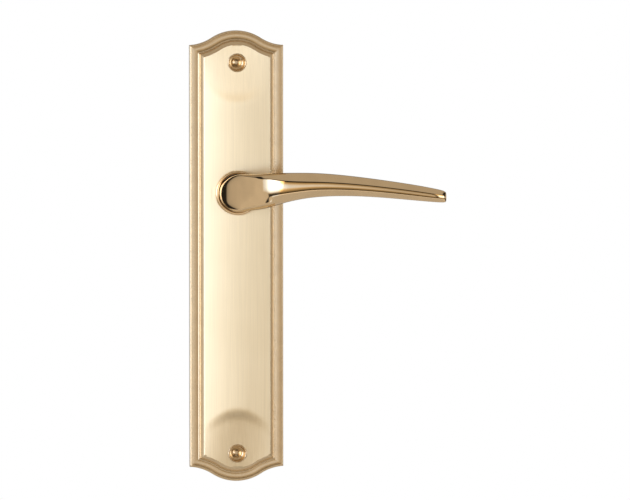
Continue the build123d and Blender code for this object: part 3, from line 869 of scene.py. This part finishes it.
class DOORHANDLE_OT_collar(bpy.types.Operator):
    """Build the turned neck collar, its bush, the washers and the retaining ring"""

    bl_idname = "doorhandle.collar"
    bl_label = "Neck collar and bearing"

    def execute(self, context):
        front, tail = -COLLAR_LOW.y, -COLLAR_HIGH.y
        outside = COLLAR_HIGH.x
        flange = BUSH_HIGH.x
        seat = -BUSH_LOW.y - 1.0 * MM
        bore = flange + 0.3 * MM
        bush = 9.0 * MM
        profile = [(outside, COLLAR_SEAT), (outside, front), (bore, front), (bore, seat)]
        profile += [(bush, seat), (bush, tail), (SPIGOT_RADIUS, tail)]
        profile += [(SPIGOT_RADIUS, COLLAR_SEAT)]
        turned_piece(
            "turned_neck_collar",
            profile,
            "plate",
            "neck_collar",
            "polished_brass",
            0.55 * MM,
            128,
        )
        bearing = settings("lever").journal_radius + PLAY
        profile = [(bearing, tail), (bush, tail), (bush, seat), (flange, seat)]
        profile += [(flange, -BUSH_LOW.y), (bearing, -BUSH_LOW.y)]
        turned_piece("flanged_neck_bush", profile, "plate", "neck_bush", "white_nylon", 0.12 * MM)
        # the washers are looser than the bush
        inner = settings("lever").journal_radius + 2 * PLAY
        low, high = -WASHER_HIGH.y, -WASHER_LOW.y
        profile = [(inner, low), (WASHER_HIGH.x, low), (WASHER_HIGH.x, high), (inner, high)]
        turned_piece(
            "nylon_thrust_washer", profile, "plate", "thrust_washer", "white_nylon", 0.1 * MM
        )
        low, high = -DISC_HIGH.y, -DISC_LOW.y
        dish = 0.25 * MM
        outer = DISC_HIGH.x
        profile = [(inner, low), (outer, low + dish), (outer, high), (inner, high - dish)]
        turned_piece(
            "conical_disc_spring", profile, "lever", "disc_spring", "spring_steel", 0.06 * MM
        )
        refined_copy("retaining_ring", "lever", "spring_steel")
        refined_copy("collar_lock_ring", "plate", "spring_steel")
        return {"FINISHED"}


# ---- screws and cups ------------------------------------------------------------
# the thread's core as a share of the shank's radius, and its steps to a turn
CORE_SHARE = 0.72
THREAD_STEPS = 20


def recess_slot(screw, top, turn):
    """A cutter for one tapering slot of the driver's recess in both screws."""
    mesh = bmesh.new()
    taper = 0.55
    length_in, sunk = 2.4 * MM, 0.7 * MM
    for level in CUP_LEVELS:
        made = bmesh.ops.create_cube(mesh, size=1)["verts"]
        for vert in made:
            # the slot narrows as it goes in, less across its width than along its reach
            wide = 1.0 if vert.co.y < 0 else taper
            vert.co = Vector(
                (
                    vert.co.x * 2 * screw.recess_reach * wide,
                    vert.co.y * length_in - (top - sunk),
                    vert.co.z * screw.recess_width * (0.75 + 0.25 * wide),
                )
            )
        turning = Matrix.Rotation(math.radians(turn), 3, "Y")
        bmesh.ops.rotate(mesh, verts=made, cent=(0, 0, 0), matrix=turning)
        bmesh.ops.translate(mesh, verts=made, vec=(0, 0, level))
    settle_normals(mesh)
    return mesh


def wood_thread(mesh, screw, start, end, level):
    """Winds a sharp wood thread round a screw's core by spinning a small wedge."""
    core = screw.shank_radius * CORE_SHARE
    pitch = screw.thread_pitch
    turns = max(1, int((start - end) / pitch))
    half = pitch * 0.22
    root = core * 0.9
    wedge = [(root, start + half), (screw.shank_radius, start), (root, start - half)]
    verts = [mesh.verts.new(at(r, height, level)) for r, height in wedge]
    face = mesh.faces.new(verts)
    bmesh.ops.spin(
        mesh,
        geom=[face, *verts, *face.edges],
        cent=at(0, 0, level),
        axis=(0, 1, 0),
        dvec=(0, pitch / THREAD_STEPS, 0),
        angle=math.tau * turns,
        steps=THREAD_STEPS * turns,
        use_merge=False,
        use_duplicate=False,
    )


class DOORHANDLE_OT_screws(bpy.types.Operator):
    """Build the two screw cups and the two cross-head fixing screws"""

    bl_idname = "doorhandle.screws"
    bl_label = "Fixing screws and cups"

    def execute(self, context):
        screw = settings("screws")
        bottom = -CUPS_HIGH.y
        lip_top = CUP_SEAT + screw.lip_height
        bore = screw.bore_radius
        outer = bore + 0.45 * MM
        head = screw.head_radius + 0.15 * MM
        shank_hole = screw.shank_radius + 2 * PLAY
        profile = [
            (CUP_RADIUS, CUP_SEAT),
            (CUP_RADIUS, lip_top - 0.2 * MM),
            ((CUP_RADIUS + bore) / 2, lip_top + 0.04 * MM),
            (bore, lip_top - 0.25 * MM),
            (bore - 0.2 * MM, screw.floor_height + 1.2 * MM),
            (bore - 0.6 * MM, screw.floor_height + 0.3 * MM),
            (head, screw.floor_height),
            (shank_hole, screw.floor_height - head + shank_hole),
            (shank_hole, bottom),
            (head, bottom),
            (outer, screw.floor_height + 1.2 * MM),
            (outer, CUP_SEAT),
        ]
        turned_piece(
            "drawn_screw_cups",
            profile,
            "plate",
            "screw_cups",
            "polished_brass",
            0.3 * MM,
            levels=CUP_LEVELS,
            finishes=("glossed_brass",),
        )
        tip = -SCREWS_HIGH.y
        top = -SCREWS_LOW.y
        rim = top - screw.head_crown
        plain = rim - 9 * MM
        core = screw.shank_radius * CORE_SHARE
        dome = []
        for k in range(9):
            share = k / 8
            dome.append((screw.head_radius * share, top - screw.head_crown * share**2))
        shank = [(screw.head_radius, rim - 0.1 * MM)]
        shank += [(screw.shank_radius, rim - screw.head_radius + screw.shank_radius)]
        shank += [(screw.shank_radius, plain), (core, plain - 0.5 * MM)]
        shank += [(core, tip + 4 * MM), (0, tip)]
        mesh = bmesh.new()
        for level in CUP_LEVELS:
            turn_profile(mesh, dome + shank, level, 48)
        settle_normals(mesh)
        for turn in (45, 135):
            mesh = cut_away(mesh, recess_slot(screw, top, turn))
        for level in CUP_LEVELS:
            wood_thread(mesh, screw, plain - 0.8 * MM, tip + 4.5 * MM, level)
        bmesh.ops.recalc_face_normals(mesh, faces=mesh.faces)
        finish_piece(
            "cross_head_screws",
            mesh,
            "plate",
            ["fixing_screws"],
            "polished_brass",
            finishes=("glossed_brass",),
        )
        return {"FINISHED"}


# ---- lever ----------------------------------------------------------------------
# places of a neck section's front points, from its middle to its corner, as shares of the
# corner's turn, and how much of the drop from the flat to the corner each has taken
CORNER_SHARES = (0, 0.3, 0.6, 0.82, 1)
CHAMFER_SHARES = (0, 0, 0.04, 0.42, 1)


class Section:
    """One section of the lever's control cage.

    front and back are its edges in plan as (reach, height). low and high are its levels.
    flat says how far it has gone from the neck's form to the grip's.

    The neck's form is a circle that a flat cuts at clip, as a share of its radius. corners
    are the (lower, upper) turns where the circle starts, and what lies between a corner
    and the flat is a chamfer.

    inner is the (lower, upper) place of the grip's two front arrises as a share of the half
    height, outer that of the two side arrises. roll is how far the side arrises lie behind
    the front, and crisp the sharpness of both pairs.
    """

    def __init__(
        self,
        front,
        back,
        low,
        high,
        flat,
        inner=(-0.3, 0.4),
        outer=0.86,
        roll=0.0,
        crisp=(0, 0),
        clip=1.1,
        corners=(32, 32),
        crown=0.0,
    ):
        self.front, self.back = front, back
        self.low, self.high = low, high
        self.flat, self.inner, self.outer = flat, inner, outer
        self.roll, self.crisp, self.clip = roll, crisp, clip
        self.corners = [math.radians(turn) for turn in corners]
        self.crown = crown

    def neck_share(self, index):
        """(across, level) on the neck's form: across from back -1 to front 1."""
        swell = 1.012
        side = index >= 0
        corner = self.corners[1 if side else 0]
        index = abs(index)
        if index > 4:
            turn = corner + (math.pi - corner) * (index - 4) / 8
            across = math.cos(turn) * swell
        else:
            turn = corner * CORNER_SHARES[index]
            across = math.cos(turn) * swell
            if self.clip < swell:
                drop = (self.clip - math.cos(corner) * swell) * CHAMFER_SHARES[index]
                across = self.clip - drop
        if self.clip < swell:
            across = (across + swell) * 2 / (self.clip + swell) - 1
        return across, (1 if side else -1) * math.sin(turn) * swell

    def grip_share(self, index):
        """(across, level) on the grip's form."""
        side = 1 if index >= 0 else -1
        inner = self.inner[1] if side > 0 else self.inner[0]
        outer = self.outer * side
        middle = (self.inner[0] + self.inner[1]) / 2
        sunk = 1 - self.roll
        crown = self.crown
        return (
            (1.0, middle),
            (1.0 - crown * 0.3, middle + (inner - middle) * 0.6),
            (1.0 - crown, inner),
            (1.0 - crown - (self.roll - crown) * 0.33, inner + (outer - inner) * 0.33),
            (1.0 - crown - (self.roll - crown) * 0.68, inner + (outer - inner) * 0.68),
            (sunk, outer),
            (min(0.1, sunk - 0.3), side * 1.02),
            (-0.35, side * 0.97),
            (-0.66, side * 0.82),
            (-0.88, side * 0.6),
            (-0.99, side * 0.36),
            (-1.02, side * 0.14),
            (-1.02, 0.0),
        )[abs(index)]

    def place(self, index):
        """The control point with one index, from -11 below to 12 behind."""
        shares = zip(self.neck_share(index), self.grip_share(index))
        across, level = [neck + (grip - neck) * self.flat for neck, grip in shares]
        reach = (self.front[0] * (1 + across) + self.back[0] * (1 - across)) / 2
        height = (self.front[1] * (1 + across) + self.back[1] * (1 - across)) / 2
        return at(reach, height, (self.high + self.low) / 2 + (self.high - self.low) / 2 * level)


def lever_sections(lever):
    """The lever's sections, from the collar out to the tip."""
    base = -COLLAR_LOW.y
    neck = lever.neck_radius
    start = lever.grip_start
    tip = LEVER_HIGH.x
    projection = -LEVER_LOW.y

    def grip(share, low, high, inner, outer, roll, crisp, slim=0.0):
        reach = start + share * (tip - start)
        front = projection - lever.front_return * share**2 - slim
        back = lever.grip_back - lever.back_return * share**2 + slim
        facet = (inner[1] - inner[0]) * (high - low) * MM / 4
        return Section(
            (reach, front),
            (reach, back),
            low * MM,
            high * MM,
            1,
            inner,
            outer,
            roll,
            crisp,
            crown=facet * lever.facet_crown / ((front - back) / 2),
        )

    def off_collar(edge):
        return edge[0] * MM, base + edge[1] * MM

    def elbow(front, back, low, high, clip, corners):
        return Section(
            off_collar(front),
            off_collar(back),
            low * MM,
            high * MM,
            0,
            clip=clip,
            corners=corners,
        )

    def bend(front, back, low, high, inner, outer, roll, crisp, crown=0.0, flat=1.0):
        return Section(
            off_collar(front),
            off_collar(back),
            low * MM,
            high * MM,
            flat,
            inner,
            outer,
            roll,
            crisp,
            clip=0.05,
            corners=(94, 88),
            crown=crown,
        )

    shoulder = -BUSH_LOW.y + 0.1 * MM
    return [
        Section((-neck, shoulder), (neck, shoulder), -neck, neck, 0),
        Section((-neck, base - 0.4 * MM), (neck, base - 0.4 * MM), -neck, neck, 0),
        elbow((-9.98, 0.9), (10.0, 0.7), -10.0, 10.0, 1.1, (32, 32)),
        elbow((-9.97, 2.7), (10.0, 1.7), -10.0, 10.02, 1.1, (32, 32)),
        elbow((-9.6, 4.35), (10.02, 2.8), -9.98, 10.06, 0.965, (31, 27)),
        elbow((-8.4, 6.75), (10.05, 4.2), -9.92, 10.15, 0.84, (44, 39)),
        elbow((-7.15, 9.0), (10.1, 5.6), -9.83, 10.3, 0.715, (54, 49)),
        elbow((-4.4, 12.85), (10.35, 8.0), -9.6, 10.6, 0.44, (72, 67)),
        elbow((-0.9, 17.6), (10.9, 11.2), -9.15, 10.95, 0.12, (91, 86)),
        bend((4.3, 24.6), (13.5, 17.5), -8.1, 11.4, (-0.2, 0.6), 0.9, 0.08, (0, 0.3), 0.0, 0.75),
        bend((9.0, 30.9), (16.9, 21.8), -6.6, 11.8, (-0.12, 0.66), 0.9, 0.16, (0.3, 0.4), 0.02),
        bend((13.4, 35.3), (20.5, 24.6), -5.1, 12.1, (-0.42, 0.68), 0.9, 0.3, (0.7, 0.4), 0.06),
        bend((18.4, 37.6), (23.8, 26.1), -3.7, 12.2, (-0.46, 0.58), 0.9, 0.42, (0.75, 0.35), 0.07),
        bend((24.2, 38.25), (27.4, 27.3), -2.5, 12.25, (-0.46, 0.48), 0.9, 0.5, (0.8, 0.35), 0.06),
        grip(0.0, -1.45, 12.25, (-0.45, 0.42), 0.9, 0.52, (0.8, 0.35)),
        grip(0.1, -0.5, 12.1, (-0.45, 0.37), 0.9, 0.54, (0.8, 0.35)),
        grip(0.24, -0.05, 11.25, (-0.46, 0.35), 0.9, 0.55, (0.8, 0.35)),
        grip(0.42, -0.4, 9.6, (-0.46, 0.34), 0.9, 0.56, (0.8, 0.35)),
        grip(0.6, -1.5, 7.6, (-0.46, 0.33), 0.9, 0.56, (0.8, 0.35)),
        grip(0.78, -2.9, 5.4, (-0.46, 0.31), 0.9, 0.56, (0.8, 0.35)),
        grip(0.9, -3.8, 3.6, (-0.46, 0.29), 0.9, 0.56, (0.8, 0.35), 0.1 * MM),
        grip(0.965, -4.15, 2.5, (-0.42, 0.22), 0.9, 0.5, (0.5, 0.3), 0.5 * MM),
        grip(0.992, -4.1, 1.7, (-0.36, 0.14), 0.88, 0.4, (0.2, 0.1), 1.2 * MM),
        grip(1.0, -3.4, 0.6, (-0.3, 0.06), 0.85, 0.3, (0, 0), 2.4 * MM),
    ]


# indices of the control points on the front arrises and on the side arrises
FRONT_ARRIS, SIDE_ARRIS = 2, 5


def build_lever_mesh(lever):
    """The forged lever: a cage of sections, smoothed, with its journal turned behind it."""
    mesh = bmesh.new()
    crease = mesh.edges.layers.float.new("crease_edge")
    index_of = mesh.verts.layers.int.new("index")
    sections = lever_sections(lever)
    crisp_at = (FRONT_ARRIS, SIDE_ARRIS)
    ring = bmesh.ops.create_circle(mesh, cap_ends=False, segments=24, radius=1)["verts"]
    order = [*range(0, 13), *range(-11, 0)]
    for vert, index in zip(ring, order):
        vert[index_of] = index
        vert.co = sections[0].place(index)
    edges = list(mesh.edges)
    for section in sections[1:]:
        made = bmesh.ops.extrude_edge_only(mesh, edges=edges)["geom"]
        for vert in made:
            if isinstance(vert, bmesh.types.BMVert):
                vert.co = section.place(vert[index_of])
        edges = [e for e in made if isinstance(e, bmesh.types.BMEdge) and e.is_boundary]
        for edge in made:
            if isinstance(edge, bmesh.types.BMEdge) and not edge.is_boundary:
                index = edge.verts[0][index_of]
                if index != edge.verts[1][index_of] or abs(index) not in crisp_at:
                    continue
                crisp = section.crisp[crisp_at.index(abs(index))]
                edge[crease] = crisp * lever.arris_crease / FULL_CRISPNESS
    bmesh.ops.holes_fill(mesh, edges=[e for e in mesh.edges if e.is_boundary], sides=0)
    bmesh.ops.recalc_face_normals(mesh, faces=mesh.faces)
    cage = linked("cage", mesh_data("cage", mesh))
    smooth = cage.modifiers.new("Smoothing", "SUBSURF")
    smooth.levels = smooth.render_levels = lever.smoothing
    mesh = evaluated_mesh(cage)
    discard(cage)
    # the journal that turns in the bush, with the groove for the retaining ring
    journal = lever.journal_radius
    tail, top = -LEVER_HIGH.y, -BUSH_LOW.y + 1 * MM
    low, high = -RING_HIGH.y - PLAY, -RING_LOW.y + PLAY
    groove = journal - 0.6 * MM
    profile = [(0, tail), (journal, tail), (journal, low), (groove, low)]
    profile += [(groove, high), (journal, high), (journal, top), (0, top)]
    add_turned_shell(mesh, profile)
    return mesh


class DOORHANDLE_OT_lever(bpy.types.Operator):
    """Build the forged swan-neck lever, with the spindle and its grub screw"""

    bl_idname = "doorhandle.lever"
    bl_label = "Lever and spindle"

    def execute(self, context):
        mesh = build_lever_mesh(settings("lever"))
        finish_piece(
            "forged_swan_neck_lever", mesh, "lever", ["lever_handle"], "polished_brass", 50
        )
        refined_copy("spindle", "lever", "bright_steel", 0.15 * MM)
        refined_copy("grub_screw", "lever", "black_steel", 0.05 * MM)
        return {"FINISHED"}


# ---- return spring cassette -----------------------------------------------------
class DOORHANDLE_OT_cassette(bpy.types.Operator):
    """Finish the return spring cassette behind the plate"""

    bl_idname = "doorhandle.cassette"
    bl_label = "Spring cassette"

    def execute(self, context):
        for node in ("spring_housing", "housing_cover", "housing_screws"):
            refined_copy(node, "plate", "zinc_plated_steel", 0.12 * MM)
        refined_copy("stop_pins", "plate", "bright_steel", 0.06 * MM)
        refined_copy("return_spring", "plate", "spring_steel", 0.05 * MM)
        refined_copy("housing_pillars", "plate", "turned_brass", 0.08 * MM)
        refined_copy("drive_cam", "lever", "zinc_plated_steel", 0.08 * MM)
        return {"FINISHED"}


# ---- camera, light and floor ----------------------------------------------------
# The studio room's parts, each as (azimuth, brightness) stops, with 0 in front and 90 to the
# handle's right, and (elevation, share) stops. Where parts overlap the brighter one shows.
FRONT_AND_WALLS = (
    (
        (-180, 1.0), (-156, 1.0), (-152, 0.02), (-109, 0.02), (-108, 0.3), (-102, 0.5),
        (-98, 0.6), (-60, 0.6), (-20, 1.4), (-12, 1.3), (-4, 1.0), (8, 0.88), (15, 0.72),
        (22, 0.58), (34, 0.6), (37, 0.15), (72, 0.15), (80, 0.55), (120, 0.5), (150, 1.0),
        (180, 1.0),
    ),
    (
        (-90, 0), (-27, 0), (-24, 0.05), (-17, 0.15), (-12, 0.42), (-9, 0.6), (-6, 0.85),
        (-3, 1.0), (2, 0.9), (8, 0.55), (14, 0.28), (17, 0.02), (90, 0),
    ),
)
SOFTBOXES = (
    (
        (-180, 0), (-92, 0), (-88, 0.9), (-80, 1.3), (-70, 2.6), (-62, 3.2), (-24, 3.2),
        (-16, 1.8), (-10, 0), (38, 0), (42, 1.9), (68, 1.9), (71, 0), (180, 0),
    ),
    ((-90, 0), (-17, 0), (-12, 0.32), (-9, 0.55), (-6, 0.85), (-3, 1.0), (18, 1.0), (23, 0), (90, 0)),
)
TALL_LEFT_WALL = (
    ((-180, 0), (-109, 0), (-108, 0.3), (-102, 0.5), (-98, 0.6), (-76, 0.6), (-72, 0), (180, 0)),
    ((-90, 1), (16, 1), (19, 0), (90, 0)),
)
CEILING_AND_FLOOR = (
    ((-180, 1), (180, 1)),
    (
        (-90, 0.6), (-31, 0.6), (-28, 0.02), (29, 0.02), (34, 0.44), (90, 0.46),
    ),
)
TABLE_EDGE = (
    ((-180, 0), (-62, 0), (-58, 1.1), (60, 1.1), (64, 0), (180, 0)),
    ((-90, 0), (-40, 0), (-37, 1), (-31, 1), (-28, 0), (90, 0)),
)
COOL_LIGHT = colour("EAF2FF")
WARM_SHADE = colour("FFF0DA")
# over and under the window the front of the room is amber
AMBER = (
    ((-180, 0), (-34, 0), (-22, 1), (60, 1), (64, 0), (180, 0)),
    ((-90, 0), (-40, 0), (-28, 1), (-9, 1), (-4, 0), (3, 0), (9, 1), (20, 1), (26, 0), (90, 0)),
)
AMBER_LIGHT = colour("FFDCA4")
FLOOR_RADIUS = 0.36
# the camera's sensor in millimetres, and the middle of its view to the right and up
SENSOR_WIDTH = 36
VIEW_MIDDLE = (0.0422, -0.0309)


def brightness_curve(tree, factor, stops, half):
    """Brightness by an angle from -half to half degrees, as straight runs between stops."""
    share = add_node(
        tree,
        "ShaderNodeMapRange",
        values={"From Min": -math.radians(half), "From Max": math.radians(half)},
        links={"Value": factor},
    )
    node = add_node(tree, "ShaderNodeFloatCurve", links={"Value": share.outputs["Result"]})
    curve = node.mapping.curves[0]
    top = max(value for _, value in stops)
    for place, value in stops[1:-1]:
        curve.points.new((place + half) / (2 * half), value / top)
    curve.points[0].location = (0, stops[0][1] / top)
    curve.points[-1].location = (1, stops[-1][1] / top)
    for point in curve.points:
        point.handle_type = "VECTOR"
    node.mapping.update()
    scaled = add_node(
        tree, "ShaderNodeMath", {"operation": "MULTIPLY"}, {1: top}, {0: node.outputs["Value"]}
    )
    return scaled.outputs["Value"]


def build_room(scene):
    """The studio room round the handle: white where the camera sees it, shaded in the metal."""
    world = bpy.data.worlds.new("studio_room")
    world.use_nodes = True
    scene.world = world
    tree = world.node_tree
    tree.nodes.clear()
    way = add_node(tree, "ShaderNodeTexCoord").outputs["Generated"]
    split = add_node(tree, "ShaderNodeSeparateXYZ", links={"Vector": way})
    front = add_node(
        tree, "ShaderNodeMath", {"operation": "MULTIPLY"}, {1: -1.0}, {0: split.outputs["Y"]}
    )
    turn = add_node(
        tree,
        "ShaderNodeMath",
        {"operation": "ARCTAN2"},
        links={0: split.outputs["X"], 1: front.outputs["Value"]},
    )
    rise = add_node(tree, "ShaderNodeMath", {"operation": "ARCSINE"}, links={0: split.outputs["Z"]})

    def spread(room_part):
        azimuths, elevations = room_part
        shares = {
            0: brightness_curve(tree, turn.outputs["Value"], azimuths, 180),
            1: brightness_curve(tree, rise.outputs["Value"], elevations, 90),
        }
        return add_node(tree, "ShaderNodeMath", {"operation": "MULTIPLY"}, links=shares).outputs[0]

    strength = spread(FRONT_AND_WALLS)
    for room_part in (SOFTBOXES, TALL_LEFT_WALL, CEILING_AND_FLOOR, TABLE_EDGE):
        both = {0: strength, 1: spread(room_part)}
        strength = add_node(tree, "ShaderNodeMath", {"operation": "MAXIMUM"}, links=both).outputs[0]
    tint = add_node(
        tree,
        "ShaderNodeValToRGB",
        links={"Fac": strength},
        stops=((0.65, WARM_SHADE), (1.0, COOL_LIGHT)),
    )
    warmed = add_node(
        tree,
        "ShaderNodeMix",
        options={"data_type": "RGBA"},
        values={7: (*AMBER_LIGHT, 1)},
        links={0: spread(AMBER), 6: tint.outputs["Color"]},
    )
    room = add_node(
        tree,
        "ShaderNodeBackground",
        links={"Color": warmed.outputs[2], "Strength": strength},
    )
    seen = add_node(tree, "ShaderNodeBackground", values={"Color": (1, 1, 1, 1), "Strength": 1.0})
    path = add_node(tree, "ShaderNodeLightPath")
    mixed = add_node(
        tree,
        "ShaderNodeMixShader",
        links={0: path.outputs["Is Camera Ray"], 1: room.outputs[0], 2: seen.outputs[0]},
    )
    output = add_node(tree, "ShaderNodeOutputWorld")
    tree.links.new(mixed.outputs[0], output.inputs["Surface"])


def stage_paper(name, base, glow):
    """Matt studio paper with a faint fibre grain."""
    values = {"Roughness": 0.9, "Emission Color": (*base, 1), "Emission Strength": glow}
    material, tree, shader, place = new_finish(name, values)
    fibre = add_node(
        tree,
        "ShaderNodeTexNoise",
        values={"Scale": 1 / (8 * MM), "Detail": 3.0, "Roughness": 0.6},
        links={"Vector": place},
    )
    vary(tree, shader, base, shades=(fibre.outputs["Fac"], 0.3, 0.7, 0.98, 1.0))
    return material


class DOORHANDLE_OT_stage(bpy.types.Operator):
    """Set up the floor, the soft studio light and the camera"""

    bl_idname = "doorhandle.stage"
    bl_label = "Floor, light and camera"

    def execute(self, context):
        stage = settings("stage")
        scene = context.scene
        scene.view_settings.view_transform = "Standard"
        # floor
        mesh = bmesh.new()
        bmesh.ops.create_circle(mesh, cap_ends=True, segments=96, radius=FLOOR_RADIUS)
        bmesh.ops.translate(mesh, verts=mesh.verts, vec=(0, 0, -stage.floor_drop))
        data = mesh_data("studio_floor", mesh)
        data.materials.append(stage_paper("pale_floor_paper", colour("F4F2EE"), 0.15))
        floor = linked("studio_floor", data)
        build_room(scene)
        # camera
        lens = bpy.data.cameras.new("camera")
        lens.sensor_width = SENSOR_WIDTH
        lens.lens = SENSOR_WIDTH * stage.distance / stage.frame_width
        lens.clip_start, lens.clip_end = 0.05, 20
        camera = linked("camera", lens)
        a, e = stage.azimuth, stage.elevation
        away = Vector((math.sin(a) * math.cos(e), -math.cos(a) * math.cos(e), math.sin(e)))
        right = Vector((math.cos(a), math.sin(a), 0))
        up = away.cross(right)
        # the middle of the view, in the plane of the door's face
        middle = right * VIEW_MIDDLE[0] + up * VIEW_MIDDLE[1]
        camera.location = middle + away * stage.distance
        camera.rotation_mode = "QUATERNION"
        camera.rotation_quaternion = away.to_track_quat("Z", "Y")
        scene.camera = camera
        return {"FINISHED"}


# ---- add-on ---------------------------------------------------------------------
class DOORHANDLE_PT_panel(bpy.types.Panel):
    """Sizes, finishes and the steps that build the handle"""

    bl_label = "Lever Handle"
    bl_idname = "DOORHANDLE_PT_panel"
    bl_space_type = "VIEW_3D"
    bl_region_type = "UI"
    bl_category = "Door Handle"

    def draw(self, context):
        layout = self.layout
        for operator in OPERATORS:
            layout.operator(operator.bl_idname)
        for name, group in GROUPS.items():
            box = layout.box()
            box.label(text=name.capitalize())
            for key in group.__annotations__:
                box.prop(settings(name), key)


GROUPS = {
    "plate": DoorHandlePlateSettings,
    "screws": DoorHandleScrewSettings,
    "lever": DoorHandleLeverSettings,
    "finish": DoorHandleFinishSettings,
    "stage": DoorHandleStageSettings,
}
OPERATORS = (
    DOORHANDLE_OT_stage,
    DOORHANDLE_OT_plate,
    DOORHANDLE_OT_collar,
    DOORHANDLE_OT_screws,
    DOORHANDLE_OT_lever,
    DOORHANDLE_OT_cassette,
)


def register():
    """Registers the settings, the operators and the panel."""
    for name, group in GROUPS.items():
        bpy.utils.register_class(group)
        setattr(bpy.types.Scene, "door_handle_" + name, PointerProperty(type=group))
    for operator in OPERATORS:
        bpy.utils.register_class(operator)
    bpy.utils.register_class(DOORHANDLE_PT_panel)


def unregister():
    """Removes what register added."""
    bpy.utils.unregister_class(DOORHANDLE_PT_panel)
    for operator in reversed(OPERATORS):
        bpy.utils.unregister_class(operator)
    for name, group in GROUPS.items():
        delattr(bpy.types.Scene, "door_handle_" + name)
        bpy.utils.unregister_class(group)


def main():
    """Builds every piece in order."""
    register()
    bpy.ops.doorhandle.stage()
    bpy.ops.doorhandle.plate()
    bpy.ops.doorhandle.collar()
    bpy.ops.doorhandle.screws()
    bpy.ops.doorhandle.lever()
    bpy.ops.doorhandle.cassette()


if __name__ == "__main__":
    main()
